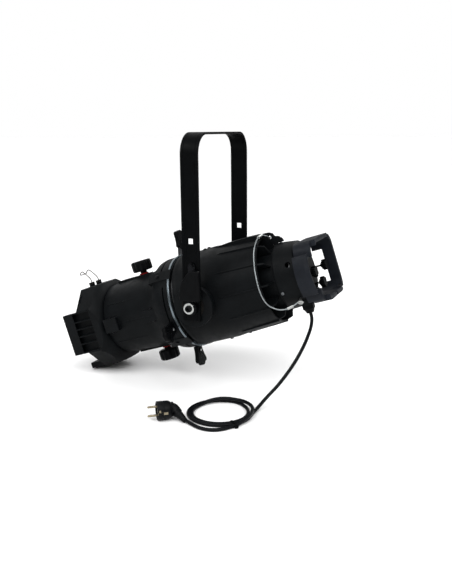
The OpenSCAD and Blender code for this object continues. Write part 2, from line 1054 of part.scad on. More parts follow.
// Plano-convex lens; bulge is the height of its curved face
function sagitta(r, bulge, x) = bulge * (1 - pow(x / r, 2));
module lens(y, r, bulge, edge) {
    turned(concat(
        [[0, y]], [[r, y]],
        [for (i = [0:10]) let (x = r * (1 - i / 10)) [x, y - edge - sagitta(r, bulge, x)]]
    ));
}
module front_lens() {
    color("#cfe0e6")
        tilted()
            lens(-248.2, lens_r - 2.6, 12, 4);
}
module rear_lens() {
    color("#cfe0e6")
        tilted()
            lens(-180, lens_r - 2.6, 16, 4);
}
module lens_rings() {
    color("#9a9c9e")
        tilted() {
            ring(lens_r - 2.6, lens_r - 7, -248.2, -245.2);
            ring(lens_r - 2.6, lens_r - 7, -180, -177);
        }
}

knob_r = 24;
module focus_washers() {
    color("#b5483f")
        tilted()
            for (side = [-1, 1])
                rotate([0, side > 0 ? 0 : 180, 0])
                    translate([0, knob_y, 89.8])
                        difference() {
                            cylinder(r = 11, h = 3);
                            translate([0, 0, -1])
                                cylinder(r = 4.1, h = 6);
                        }
}
// Knurled focus knob with its stem; side is +1 on top, -1 below
module focus_knob(side) {
    tilted()
        rotate([0, side > 0 ? 0 : 180, 0])
            translate([0, knob_y, 0]) {
                translate([0, 0, 74])
                    cylinder(r = 2.94, h = 12);
                translate([0, 0, 79])
                    cylinder(r = 4, h = 20);
                translate([0, 0, 93])
                    cylinder(r = 8, h = 6);
                difference() {
                    translate([0, 0, 98])
                        cylinder(r = knob_r, h = 25);
                    for (a = [0:15:345])
                        rotate([0, 0, a])
                            translate([knob_r + 1, 0, 97])
                                cylinder(r = 2, h = 27);
                    translate([0, 0, 120])
                        cylinder(r = 17, h = 4);
                }
            }
}
module focus_knob_top() {
    color("#1a1c1e")
        focus_knob(1);
}
module focus_knob_bottom() {
    color("#1a1c1e")
        focus_knob(-1);
}

// Bent wire that closes the top of the holder
clip_route = [
    [14.7, -314, 104], [14.7, -313, 111], [14.6, -315.5, 118], [14.4, -321, 126],
    [14.1, -328, 134.5], [13.8, -332, 137.5], [13.5, -336.5, 136], [12.8, -340, 132],
    [10.5, -341.3, 130.5], [5, -341.5, 130.3], [0, -341.5, 130.3],
    [-5, -341.5, 130.3], [-10.5, -341.3, 130.5], [-12.8, -340, 132], [-13.5, -336.5, 136],
    [-13.8, -332, 137.5], [-14.1, -328, 134.5], [-14.4, -321, 126], [-14.6, -315.5, 118],
    [-14.7, -313, 111], [-14.7, -314, 104]
];
module colour_clip() {
    color("#d6d8da")
        tilted() {
            swept(clip_route, 1.1, 8);
            for (x = [-14.7, 14.7])
                translate([x, clip_y, clip_z]) {
                    across(2.4, -4, 4);
                    across(1.2, -6.3, 6.3);
                }
        }
}

// ---------- cord, tie and plug ----------

module cord_drop() {
    color("#2c2e31")
        swept(drop_route, cord_r, 10);
}
module cord_tail() {
    color("#2c2e31")
        swept(tail_route, cord_r, 10);
}
coil_half = cord_d + 1.5;
module cord_coil() {
    color("#2c2e31")
        translate([coil_x, coil_y, floor_z])
            rotate_extrude()
                translate([coil_r - coil_half, 0])
                    square([2 * coil_half, 2 * cord_d + 0.6]);
}
tie_angle = 47;
module cord_tie() {
    color("#0d0d0e")
        translate([coil_x, coil_y, floor_z])
            rotate([0, 0, tie_angle])
                difference() {
                    translate([coil_r - coil_half - 1.2, -3, 0])
                        cube([2 * coil_half + 2.4 + 6, 6, 2 * cord_d + 1.8]);
                    translate([coil_r - coil_half, -4, -1])
                        cube([2 * coil_half, 8, 2 * cord_d + 1.6]);
                    translate([coil_r + coil_half + 1.2, -4, 3])
                        cube([10, 8, 20]);
                }
}

// The plug lies with its axis level; locally Z runs out of the pins and Y is up
plug_r = 19.5;
plug_z = floor_z + plug_r;
module plug_axis() {
    translate([plug_x, plug_y, plug_z])
        rotate([0, 0, plug_turn])
            rotate([90, 0, 0])
                children();
}
module plug_body() {
    color("#1c1e20")
        plug_axis()
            difference() {
                union() {
                    cylinder(r = plug_r, h = 13);
                    translate([0, 0, -13])
                        cylinder(r = plug_r - 0.5, h = 13);
                    translate([0, 0, -17])
                        cylinder(r1 = 15, r2 = plug_r - 0.5, h = 4);
                    hull() {
                        translate([0, 0, -20])
                            cylinder(r = 14.5, h = 6, $fn = 32);
                        translate([4, -2, -25])
                            sphere(r = 11, $fn = 24);
                    }
                }
                for (y = [-9.5, 9.5])
                    translate([0, y, 5])
                        cylinder(r = 2.4, h = 10);
                for (side = [-1, 1])
                    translate([side > 0 ? 17.6 : -20.6, -3, -8])
                        cube([3, 6, 22]);
            }
}
module plug_relief() {
    color("#17181a")
        plug_axis()
            hull() {
                translate([11, -5, -28])
                    sphere(r = 9.5, $fn = 24);
                translate([32, -13.5, -39])
                    sphere(r = 5.4, $fn = 24);
            }
}
module plug_pins() {
    color("#d7d3c4")
        plug_axis()
            for (y = [-9.5, 9.5])
                translate([0, y, 5])
                    cylinder(r = 2.35, h = 27);
}
module plug_earth() {
    color("#d7d3c4")
        plug_axis()
            for (side = [-1, 1])
                translate([side > 0 ? 17.65 : -19.25, -2.5, -7.9])
                    cube([1.6, 5, 20.8]);
}

// ---------- one node each ----------

yoke();
lever_arm();
lever_grip();
lever_pin();
reflector_housing();
reflector();
pivot_disc_near();
pivot_disc_far();
friction_washers();
pivot_screw_near();
pivot_ring_near();
pivot_bolt_far();
housing_screws();
lamp_cap();
cap_screws();
rear_guard();
lamp_carrier();
carrier_springs();
lamp_socket();
lamp_base();
lamp_bulb();
terminal_block();
earth_screw();
cable_gland();
align_knob_near();
align_knob_far();
align_knob_low();
safety_wire();
wire_ferrules();
wire_screw();
barrel_upper();
barrel_lower();
barrel_screws();
gate_ring();
shutter_plates();
shutter_blade_top();
shutter_blade_bottom();
shutter_blade_near();
shutter_blade_far();
shutter_handle_top();
shutter_handle_bottom();
shutter_handle_near();
shutter_handle_far();
lens_tube();
front_holder();
front_lens();
rear_lens();
lens_rings();
focus_washers();
focus_knob_top();
focus_knob_bottom();
colour_clip();
cord_drop();
cord_coil();
cord_tail();
cord_tie();
plug_body();
plug_relief();
plug_pins();
plug_earth();
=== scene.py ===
import json
import math

import bmesh
import bpy
from mathutils import Matrix, Vector


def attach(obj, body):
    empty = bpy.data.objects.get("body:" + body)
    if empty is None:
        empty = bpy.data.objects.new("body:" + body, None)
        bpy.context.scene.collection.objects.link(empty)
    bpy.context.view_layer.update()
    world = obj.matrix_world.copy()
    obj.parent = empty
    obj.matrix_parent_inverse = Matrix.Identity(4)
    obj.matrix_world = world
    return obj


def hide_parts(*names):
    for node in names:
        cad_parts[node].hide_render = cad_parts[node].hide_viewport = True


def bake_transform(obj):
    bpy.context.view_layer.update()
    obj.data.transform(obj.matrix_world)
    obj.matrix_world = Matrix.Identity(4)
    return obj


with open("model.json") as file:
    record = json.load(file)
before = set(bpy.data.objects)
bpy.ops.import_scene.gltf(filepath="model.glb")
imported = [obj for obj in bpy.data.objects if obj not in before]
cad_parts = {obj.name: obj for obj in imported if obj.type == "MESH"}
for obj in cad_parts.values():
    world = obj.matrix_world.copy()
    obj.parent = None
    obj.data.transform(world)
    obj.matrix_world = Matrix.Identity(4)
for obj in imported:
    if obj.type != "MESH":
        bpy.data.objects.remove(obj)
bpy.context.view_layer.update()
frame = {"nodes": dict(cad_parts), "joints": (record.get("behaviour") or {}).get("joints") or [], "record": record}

NODES = frame["nodes"]
JOINTS = {j["name"]: j for j in frame["joints"]}
MM = 0.001

PIVOT = Vector(JOINTS["tilt"]["pos_m"])
BEAM = Vector(JOINTS["focus_slide"]["axis"])
TILT = math.atan2(-BEAM.z, -BEAM.y)
LAMP = Matrix.Translation(PIVOT) @ Matrix.Rotation(TILT, 4, "X") @ Matrix.Scale(MM, 4)
ROW = Matrix.Scale(MM, 4)
FLOOR = -567


# ---------- camera ----------

CAMERA_AT = (1431.2, 631.6, 4.3)
CAMERA_HEADING = 113.1
CAMERA_PITCH = -12.98
CAMERA_ROLL = -0.51
CAMERA_LENS = 43.1


def make_camera():
    data = bpy.data.cameras.new("camera")
    data.lens = CAMERA_LENS
    data.clip_end = 200
    camera = bpy.data.objects.new("camera", data)
    bpy.context.scene.collection.objects.link(camera)
    turn = Matrix.Rotation(math.radians(CAMERA_HEADING), 4, "Z")
    nod = Matrix.Rotation(math.radians(90 + CAMERA_PITCH), 4, "X")
    roll = Matrix.Rotation(math.radians(CAMERA_ROLL), 4, "Z")
    camera.matrix_world = Matrix.Translation(Vector(CAMERA_AT) * MM) @ turn @ nod @ roll
    bpy.context.scene.camera = camera


make_camera()


# ---------- mesh helpers ----------

def add_object(name, mesh):
    obj = bpy.data.objects.new(name, mesh)
    bpy.context.scene.collection.objects.link(obj)
    return obj


def finished(bm, name, place, material, smooth=35):
    """Turns a bmesh made in millimetres into an object in the row frame."""
    bmesh.ops.remove_doubles(bm, verts=bm.verts, dist=0.001)
    bmesh.ops.recalc_face_normals(bm, faces=bm.faces)
    mesh = bpy.data.meshes.new(name)
    bm.to_mesh(mesh)
    bm.free()
    mesh.transform(place)
    mesh.shade_smooth()
    mesh.set_sharp_from_angle(angle=math.radians(smooth))
    mesh.materials.append(material)
    return add_object(name, mesh)


def add_lathe(bm, profile, place=Matrix.Identity(4), segments=64, lobes=0, depth=0, inner=0):
    """Adds a solid of revolution about local Z from a profile of (radius, z).

    Beyond the inner radius it is scalloped, with that many lobes and that depth.
    """
    rings = []
    for r, z in profile:
        if r < 1e-6:
            rings.append([bm.verts.new(place @ Vector((0, 0, z)))])
            continue
        ring = []
        for i in range(segments):
            a = 2 * math.pi * i / segments
            cut = depth * ease((r - inner) / 2) * (0.5 - 0.5 * math.cos(lobes * a))
            ring.append(bm.verts.new(place @ Vector(((r - cut) * math.cos(a),
                                                     (r - cut) * math.sin(a), z))))
        rings.append(ring)
    for low, high in zip(rings, rings[1:]):
        for i in range(segments):
            j = (i + 1) % segments
            corners = (low[i % len(low)], low[j % len(low)],
                       high[j % len(high)], high[i % len(high)])
            unique = list(dict.fromkeys(corners))
            if len(unique) > 2:
                bm.faces.new(unique)


def smooth_path(points, step):
    """Points about step apart along a Catmull-Rom curve through the given ones."""
    p = [Vector(q) for q in points]
    p = [2 * p[0] - p[1]] + p + [2 * p[-1] - p[-2]]
    result = []
    for a, b, c, d in zip(p, p[1:], p[2:], p[3:]):
        count = max(1, round((c - b).length / step))
        for i in range(count):
            t = i / count
            result.append(0.5 * (2 * b + (c - a) * t + (2 * a - 5 * b + 4 * c - d) * t * t
                                 + (3 * b - a - 3 * c + d) * t ** 3))
    return result + [p[-2]]


def path_frames(path):
    """Heading and two cross directions at each point, carried along without twisting."""
    frames = []
    side = None
    last = len(path) - 1
    for i in range(len(path)):
        ahead = (path[min(i + 1, last)] - path[max(i - 1, 0)]).normalized()
        if side is None:
            side = Vector((0, 0, 1)) if abs(ahead.z) < 0.9 else Vector((1, 0, 0))
        side = (side - ahead * side.dot(ahead)).normalized()
        frames.append((ahead, side, ahead.cross(side)))
    return frames


def add_tube(bm, path, radius, sides):
    """Adds a solid rod along the path; radius is a number or a function of the share of the way."""
    rings = []
    for i, (point, (ahead, u, w)) in enumerate(zip(path, path_frames(path))):
        r = radius(i / (len(path) - 1)) if callable(radius) else radius
        rings.append([bm.verts.new(point + r * (math.cos(a) * u + math.sin(a) * w))
                      for a in (2 * math.pi * k / sides for k in range(sides))])
    for low, high in zip(rings, rings[1:]):
        for k in range(sides):
            bm.faces.new([low[k], low[(k + 1) % sides], high[(k + 1) % sides], high[k]])
    bm.faces.new(rings[0][::-1])
    bm.faces.new(rings[-1])


def add_box(bm, low, high, place=Matrix.Identity(4)):
    low, high = Vector(low), Vector(high)
    middle = Matrix.Translation((low + high) / 2)
    size = Matrix.Diagonal((high - low).to_4d())
    bmesh.ops.create_cube(bm, size=1, matrix=place @ middle @ size)


def bevel(obj, width):
    mod = obj.modifiers.new("edges", "BEVEL")
    mod.width = width * MM
    mod.segments = 2
    mod.limit_method = "ANGLE"
    mod.angle_limit = math.radians(35)
    mod.use_clamp_overlap = False
    mod.harden_normals = True


def ease(share):
    """Smooth step from 0 to 1."""
    share = min(1, max(0, share))
    return share * share * (3 - 2 * share)


def radial(angle, y):
    """Place on the lamp with local Z pointing outwards; 0 is the near side (+X), 90 the top."""
    return (Matrix.Rotation(-math.radians(angle), 4, "Y") @ Matrix.Translation((0, y, 0))
            @ Matrix.Rotation(math.pi / 2, 4, "Y"))


# ---------- materials ----------

WEAR_AND_HIGHLIGHT_WIDTH = 0.8  # mm
WEAR_AND_HIGHLIGHT_FROM, WEAR_AND_HIGHLIGHT_FULL = 0.02, 0.25  # how far the rounded normal leans where the lightened edge starts and is full; this edge is partly rubbed paint and partly a painted highlight


class Shader:
    """A node material whose detail is drawn in the object's own coordinates, in millimetres."""

    def __init__(self, name, **inputs):
        self.material = bpy.data.materials.new(name)
        self.material.use_nodes = True
        self.tree = self.material.node_tree
        self.bsdf = self.tree.nodes["Principled BSDF"]
        for key, value in inputs.items():
            socket = self.bsdf.inputs[key.replace("_", " ")]
            socket.default_value = (*value, 1) if isinstance(value, tuple) else value
        self.place = self.add("ShaderNodeTexCoord").outputs["Object"]

    def add(self, kind, settings=None, **links):
        node = self.tree.nodes.new(kind)
        for key, value in (settings or {}).items():
            setattr(node, key, value)
        for key, value in links.items():
            socket = node.inputs[key.replace("_", " ")]
            if isinstance(value, bpy.types.NodeSocket):
                self.tree.links.new(value, socket)
            else:
                socket.default_value = value
        return node

    def noise(self, size, detail, rough=0.55):
        """Noise whose features are about size millimetres across."""
        return self.add("ShaderNodeTexNoise", Vector=self.place, Scale=1 / (size * MM),
                        Detail=detail, Roughness=rough).outputs["Fac"]

    def ramp(self, value, low, high, dark=0.0, light=1.0):
        """Maps low..high to dark..light, held at both ends."""
        return self.add("ShaderNodeMapRange", Value=value, From_Min=low, From_Max=high,
                        To_Min=dark, To_Max=light).outputs["Result"]

    def mix(self, share, first, second):
        node = self.add("ShaderNodeMix", {"data_type": "RGBA"})
        for i, value in ((0, share), (6, first), (7, second)):
            if isinstance(value, bpy.types.NodeSocket):
                self.tree.links.new(value, node.inputs[i])
            else:
                node.inputs[i].default_value = (*value, 1) if isinstance(value, tuple) else value
        return node.outputs[2]

    def link(self, value, name):
        self.tree.links.new(value, self.bsdf.inputs[name])
        return self

    def bump(self, height, depth):
        """Bump whose height of 1 stands depth millimetres proud."""
        normal = self.add("ShaderNodeBump", Height=height, Distance=depth * MM, Strength=1.0)
        return self.link(normal.outputs[0], "Normal")

    def edge(self):
        """1 along sharp edges and 0 on the faces. It marks where paint is rubbed thin and where a painted
        highlight lightens the edge.
        """
        round_normal = self.add("ShaderNodeBevel", {"samples": 4}, Radius=WEAR_AND_HIGHLIGHT_WIDTH * MM).outputs[0]
        true_normal = self.add("ShaderNodeNewGeometry").outputs["Normal"]
        dot = self.add("ShaderNodeVectorMath", {"operation": "DOT_PRODUCT"})
        self.tree.links.new(round_normal, dot.inputs[0])
        self.tree.links.new(true_normal, dot.inputs[1])
        return self.ramp(dot.outputs["Value"], 1 - WEAR_AND_HIGHLIGHT_FROM, 1 - WEAR_AND_HIGHLIGHT_FULL)

    def multiply(self, first, second):
        node = self.add("ShaderNodeMath", {"operation": "MULTIPLY"})
        self.tree.links.new(first, node.inputs[0])
        self.tree.links.new(second, node.inputs[1])
        return node.outputs[0]


def painted(name, colour, edge_wear_highlight_colour, rough, grain_size, grain_depth, edge_wear_highlight_share=0.5, shine=0.065):
    """Sprayed or powder-coated metal: fine orange-peel grain, uneven gloss, and edges lightened in patches, partly
    thin paint and partly a painted highlight.
    """
    s = Shader(name, Specular_IOR_Level=shine)
    cloud = s.noise(45, 4, 0.6)
    speck = s.noise(2.5, 2, 0.5)
    body = s.mix(s.ramp(cloud, 0.35, 0.7), colour, tuple(c * 1.6 + 0.0004 for c in colour))
    # edges go grey in noisy patches: rubbed-through paint, and also a painted highlight along the edges
    edge_wear_and_highlight_mask = s.multiply(s.edge(), s.ramp(s.noise(7, 4), 0.42, 0.62, 0, edge_wear_highlight_share))
    s.link(s.mix(edge_wear_and_highlight_mask, body, edge_wear_highlight_colour), "Base Color")
    s.link(s.ramp(s.noise(18, 5), 0.3, 0.7, rough - 0.07, rough + 0.08), "Roughness")
    grain = s.add("ShaderNodeMath", {"operation": "ADD"})
    s.tree.links.new(s.noise(grain_size, 2), grain.inputs[0])
    s.tree.links.new(s.ramp(speck, 0.4, 0.7, 0, 0.4), grain.inputs[1])
    return s.bump(grain.outputs[0], grain_depth).material


def moulded(name, colour, rough, grain_size=0.5, grain_depth=0.03):
    """Moulded plastic: fine spark-eroded grain and slightly polished patches."""
    s = Shader(name, Specular_IOR_Level=0.05)
    patch = s.ramp(s.noise(14, 4), 0.35, 0.7)
    s.link(s.mix(patch, colour, tuple(c * 1.35 + 0.0006 for c in colour)), "Base Color")
    s.link(s.ramp(s.noise(9, 4), 0.3, 0.7, rough - 0.08, rough + 0.08), "Roughness")
    return s.bump(s.noise(grain_size, 2), grain_depth).material


def metal(name, colour, rough, dull=0.75):
    """Bare or plated metal: fine scratches, handling marks and a duller film."""
    s = Shader(name, Metallic=1.0)
    film = s.ramp(s.noise(11, 5, 0.65), 0.35, 0.72)
    s.link(s.mix(film, colour, tuple(c * dull for c in colour)), "Base Color")
    scratch = s.noise(0.6, 3, 0.6)
    s.link(s.ramp(scratch, 0.3, 0.7, rough * 0.75, rough * 1.3), "Roughness")
    return s.bump(scratch, 0.01).material


def rubber(name, colour, rough):
    """Cord sheath and plug rubber: faint dust, soft gloss and a very fine skin."""
    s = Shader(name, Specular_IOR_Level=0.1)
    dust = s.ramp(s.noise(16, 5, 0.6), 0.5, 0.8, 0, 0.6)
    s.link(s.mix(dust, colour, tuple(c * 1.6 + 0.003 for c in colour)), "Base Color")
    s.link(s.ramp(s.noise(6, 4), 0.3, 0.7, rough - 0.06, rough + 0.12), "Roughness")
    return s.bump(s.noise(0.9, 2), 0.03).material


def glass(name, tint):
    """Clear glass with faint smears."""
    s = Shader(name, Base_Color=tint, Transmission_Weight=1.0, IOR=1.47)
    smear = s.ramp(s.noise(22, 5, 0.7), 0.45, 0.75, 0.02, 0.09)
    return s.link(smear, "Roughness").material


def two_tone_ring(name, bright, dark, inner, outer):
    """Machined bright beyond a radius from the optical axis, black within it."""
    s = Shader(name)
    offset = s.add("ShaderNodeVectorMath", {"operation": "SUBTRACT"})
    s.tree.links.new(s.place, offset.inputs[0])
    offset.inputs[1].default_value = PIVOT
    away = s.add("ShaderNodeVectorMath", {"operation": "CROSS_PRODUCT"})
    s.tree.links.new(offset.outputs[0], away.inputs[0])
    away.inputs[1].default_value = BEAM
    length = s.add("ShaderNodeVectorMath", {"operation": "LENGTH"})
    s.tree.links.new(away.outputs[0], length.inputs[0])
    rim = s.ramp(length.outputs["Value"], inner * MM, outer * MM)
    scratch = s.noise(1.2, 4, 0.6)
    s.link(s.mix(rim, dark, s.mix(scratch, bright, tuple(c * 0.8 for c in bright))), "Base Color")
    s.link(s.ramp(rim, 0, 1, 0, 1), "Metallic")
    s.link(s.ramp(scratch, 0.3, 0.7, 0.22, 0.42), "Roughness")
    return s.bump(scratch, 0.02).material


def ceramic(name, colour):
    """Unglazed steatite with stained patches."""
    s = Shader(name, Specular_IOR_Level=0.5)
    s.link(s.mix(s.ramp(s.noise(9, 4), 0.4, 0.75), colour, tuple(c * 0.82 for c in colour)),
           "Base Color")
    s.link(s.ramp(s.noise(3, 3), 0.3, 0.7, 0.45, 0.7), "Roughness")
    return s.bump(s.noise(0.8, 3), 0.04).material


BLACK = (0.0017, 0.0022, 0.0026)
# grey of the lightened edges: bare metal where the paint is rubbed, and a painted edge highlight
WORN_EDGE_HIGHLIGHT_GREY = (0.05, 0.052, 0.056)
MATERIALS = {
    "cast_black": painted("cast_black", BLACK, WORN_EDGE_HIGHLIGHT_GREY, 0.5, 0.9, 0.06),
    # a lighter, shinier copy of the cast black: painted light on the guard's lit faces
    "guard_black_painted_lit": painted("guard_black_painted_lit", (0.0058, 0.007, 0.0096), WORN_EDGE_HIGHLIGHT_GREY, 0.5, 0.8, 0.05,
                           edge_wear_highlight_share=0.3, shine=0.1),
    "yoke_paint": painted("yoke_paint", (0.0008, 0.001, 0.0012), WORN_EDGE_HIGHLIGHT_GREY, 0.44, 1.3, 0.04,
                          edge_wear_highlight_share=0.6, shine=0.035),
    "lever_steel": metal("lever_steel", (0.012, 0.0125, 0.014), 0.4),
    "moulded_black": moulded("moulded_black", (0.0013, 0.0015, 0.0018), 0.42),
    "reflector_glass": metal("reflector_glass", (0.86, 0.85, 0.82), 0.1, 0.95),
    "friction_fibre": moulded("friction_fibre", (0.006, 0.0055, 0.005), 0.8, 1.1, 0.12),
    "black_screws": metal("black_screws", (0.009, 0.0095, 0.0105), 0.4),
    "bright_steel": metal("bright_steel", (0.42, 0.43, 0.42), 0.26),
    "dull_steel": metal("dull_steel", (0.16, 0.17, 0.18), 0.36),
    "spring_wire": metal("spring_wire", (0.06, 0.052, 0.046), 0.4),
    "bright_ring": two_tone_ring("bright_ring", (0.17, 0.2, 0.22), (0.002, 0.0025, 0.003),
                                 103, 105),
    "carrier_aluminium": metal("carrier_aluminium", (0.3, 0.31, 0.32), 0.4),
    "ceramic": ceramic("ceramic", (0.5, 0.48, 0.43)),
    "lamp_metal": metal("lamp_metal", (0.75, 0.75, 0.75), 0.3),
    "lamp_glass": glass("lamp_glass", (0.97, 0.98, 1.0)),
    "wire_rope": metal("wire_rope", (0.36, 0.39, 0.4), 0.34),
    "shutter_steel": metal("shutter_steel", (0.1, 0.1, 0.105), 0.42, 0.6),
    "lens_glass": glass("lens_glass", (0.93, 0.97, 0.98)),
    "red_washer": moulded("red_washer", (0.16, 0.008, 0.008), 0.5),
    "cord_rubber": rubber("cord_rubber", (0.0016, 0.0021, 0.003), 0.34),
    "tie_plastic": moulded("tie_plastic", (0.0015, 0.0015, 0.0018), 0.4),
    "plug_rubber": rubber("plug_rubber", (0.0018, 0.0021, 0.0027), 0.42),
    "plug_brass": metal("plug_brass", (0.3, 0.26, 0.18), 0.28),
}


# ---------- cord ----------

CORD_R = 3.75
COIL_AT = Vector((191, 87, 0))
LYING = FLOOR + CORD_R
DROP_ROUTE = [
    (30, 230.2, -376), (30.5, 233, -386), (32, 233.5, -397), (35, 232, -410),
    (39.5, 228.5, -424), (46, 223, -442), (54, 216.5, -459), (63, 208.5, -477),
    (74, 199.5, -494), (86, 190, -510), (98, 180, -525), (111, 169.5, -538),
    (126, 161, -549), (141, 155.5, -557), (157, 152, -562), (172, 151.2, LYING),
]
TAIL_ROUTE = [
    (252.5, 134.5, LYING), (263, 127, LYING), (272, 117.5, LYING), (277.5, 106, LYING),
    (279, 93, LYING), (277, 80, LYING), (272, 67, -563), (266, 54.5, -562.2),
    (260.5, 43.5, -561.2),
]
COIL_START = 80
COIL_SWEEP = 750
COIL_STEP = 25


def coil_point(swept):
    """A turn on the floor, one inside it, then a low hump over both and out."""
    r = 66 - 7.7 * ease((swept - 250) / 70)
    r += 8.7 * ease((swept - 600) / 80) + 7.5 * ease((swept - 690) / 70)
    up = 7.6 * (ease((swept - 540) / 60) - ease((swept - 722) / 36))
    angle = math.radians(COIL_START - swept)
    return COIL_AT + Vector((r * math.cos(angle), r * math.sin(angle), LYING + up))


def cord_points():
    coil = [coil_point(swept) for swept in range(0, COIL_SWEEP + 1, COIL_STEP)]
    return [Vector(p) for p in DROP_ROUTE] + coil + [Vector(p) for p in TAIL_ROUTE]


def make_cord():
    path = smooth_path(cord_points(), 4)
    bm = bmesh.new()
    add_tube(bm, path, CORD_R, 16)
    cord = finished(bm, "mains_cord", ROW, MATERIALS["cord_rubber"])
    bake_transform(cord)
    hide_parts("cord_drop", "cord_coil", "cord_tail")


# ---------- plug and tie ----------

PLUG = (ROW @ Matrix.Translation((259, -10, FLOOR + 19.5))
        @ Matrix.Rotation(math.radians(38), 4, "Z") @ Matrix.Rotation(math.pi / 2, 4, "X"))
PLUG_R = 19.5


def make_plug_body():
    bm = bmesh.new()
    drum = [(0, 9.5), (15.5, 9.5), (16.2, 10.4), (16.6, 12.4), (17.4, 13), (18.8, 12.8),
            (PLUG_R, 11.8), (PLUG_R, 1.2), (PLUG_R - 0.7, 0.6), (PLUG_R - 0.7, -0.6),
            (PLUG_R - 0.2, -1.2), (PLUG_R - 0.4, -10), (PLUG_R - 1.6, -13.5), (15.5, -16.4),
            (12, -17.4), (0, -17.6)]
    add_lathe(bm, drum)
    neck = smooth_path([(0, 0, -14), (0.4, -0.2, -18), (2, -1, -22), (6, -3, -26),
                        (11, -5, -28.4)], 1)
    add_tube(bm, neck, lambda t: 14.6 - 4.6 * ease(t), 40)
    # the wide flat rib that carries the clamp screws
    add_box(bm, (-8, -13.2, -22), (6, 13.2, -15))
    body = finished(bm, "plug_shell", PLUG, MATERIALS["plug_rubber"])
    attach(body, "yoke")
    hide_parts("plug_body")
    return body


def relief_radius(share):
    """Tapered, with five grooves cut round it."""
    taper = 9.6 - 4.4 * share
    groove = max(0, math.sin(share * 5 * 2 * math.pi - 1.2)) ** 2
    return taper - 0.9 * groove * (0.1 < share < 0.92)


def make_plug_relief():
    bm = bmesh.new()
    path = smooth_path([(8, -3.6, -26.6), (14, -6.2, -29.6), (22, -9.6, -33.8),
                        (32.8, -13.7, -39.2)], 0.5)
    add_tube(bm, path, relief_radius, 32)
    relief = finished(bm, "plug_strain_relief", PLUG, MATERIALS["plug_rubber"], 60)
    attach(relief, "yoke")
    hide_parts("plug_relief")
    return relief


def make_plug_pins():
    bm = bmesh.new()
    profile = [(0, 5), (2.35, 5), (2.35, 29), (2.1, 30.6), (1.3, 31.7), (0, 32)]
    collar = [(2.35, 9.4), (3.4, 9.4), (3.4, 10.1), (2.35, 10.3)]
    for y in (-9.5, 9.5):
        place = Matrix.Translation((0, y, 0))
        add_lathe(bm, profile, place, 24)
        add_lathe(bm, collar, place, 24)
    pins = finished(bm, "plug_contact_pins", PLUG, MATERIALS["plug_brass"])
    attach(pins, "yoke")
    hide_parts("plug_pins")
    return pins


def make_plug_earth():
    """Two bent strips on the sides and the sleeve in the face."""
    bm = bmesh.new()
    for side in (-1, 1):
        outer = 19.35 * side
        inner = outer - 1.2 * side
        low, high = min(outer, inner), max(outer, inner)
        add_box(bm, (low, -2.6, -7.6), (high, 2.6, 11.6))
        lip = outer - 3.6 * side
        add_box(bm, (min(outer, lip), -2.6, 11.6), (max(outer, lip), 2.6, 12.7))
        add_box(bm, (low, 2.4, 6.8), (high, 7.2, 10.4))
    sleeve = [(2.0, 9.6), (3.1, 9.6), (3.1, 10.6), (2.0, 10.6), (2.0, 9.6)]
    add_lathe(bm, sleeve, segments=24)
    earth = finished(bm, "plug_earth_contacts", PLUG, MATERIALS["plug_brass"])
    bevel(earth, 0.25)
    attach(earth, "yoke")
    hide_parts("plug_earth")
    return earth


TIE_ANGLE = 47


def make_tie():
    """A flat strap round the three strands, with its ratchet head and cut end outside."""
    bm = bmesh.new()
    place = (Matrix.Translation((COIL_AT.x, COIL_AT.y, FLOOR))
             @ Matrix.Rotation(math.radians(TIE_ANGLE), 4, "Z"))
    low, high, top, t = 54.2, 78.6, 8.2, 1.1
    loop = [(low, 0.8), (low, top - 2), (low + 2, top), (high - 2, top), (high, top - 2),
            (high, 0.8)]
    inner = [(low + t, 0.8), (low + t, top - 2.4), (low + 2.4, top - t), (high - 2.4, top - t),
             (high - t, top - 2.4), (high - t, 0.8)]
    sides = []
    for y in (-2.2, 2.2):
        sides.append([[bm.verts.new(place @ Vector((r, y, z))) for r, z in line]
                      for line in (loop, inner)])
    (front_out, front_in), (back_out, back_in) = sides
    for i in range(len(loop) - 1):
        bm.faces.new([front_out[i], front_out[i + 1], back_out[i + 1], back_out[i]])
        bm.faces.new([front_in[i + 1], front_in[i], back_in[i], back_in[i + 1]])
        bm.faces.new([front_out[i + 1], front_out[i], front_in[i], front_in[i + 1]])
        bm.faces.new([back_out[i], back_out[i + 1], back_in[i + 1], back_in[i]])
    for i in (0, -1):
        bm.faces.new([front_out[i], back_out[i], back_in[i], front_in[i]])
    add_box(bm, (high - 0.6, -3.4, 1.4), (high + 4.6, 3.4, 6.4), place)
    add_box(bm, (high + 1.2, -2.0, 0.4), (high + 2.3, 2.0, 7.2), place)
    for i in range(6):
        x = low + 5 + 2.4 * i
        add_box(bm, (x, -1.6, top - 0.1), (x + 1.1, 1.6, top + 0.3), place)
    tie = finished(bm, "cord_tie_strap", ROW, MATERIALS["tie_plastic"])
    bevel(tie, 0.2)
    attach(tie, "yoke")
    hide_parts("cord_tie")
    return tie


CORD_PIECES = [make_plug_body(), make_plug_relief(), make_plug_pins(), make_plug_earth(),
               make_tie()]
make_cord()


# ---------- safety wire and colour clip ----------

WIRE_ROUTE = [
    (-6, 163, 91), (6, 163, 91.5), (14, 161, 96), (26, 156, 101), (42, 153, 99), (62, 151, 89),
    (80, 150, 75), (94, 150, 58), (103, 149, 38), (106.5, 148, 14), (105, 147, -6),
    (100, 148, -26), (92, 153, -43), (83, 167, -56), (74, 182, -60), (66, 194, -58),
    (59, 201, -55.5), (54.5, 204, -52.6),
]
STRANDS = 6  # round one straight strand
STRAND_R = 0.46
LAY_LENGTH = 11


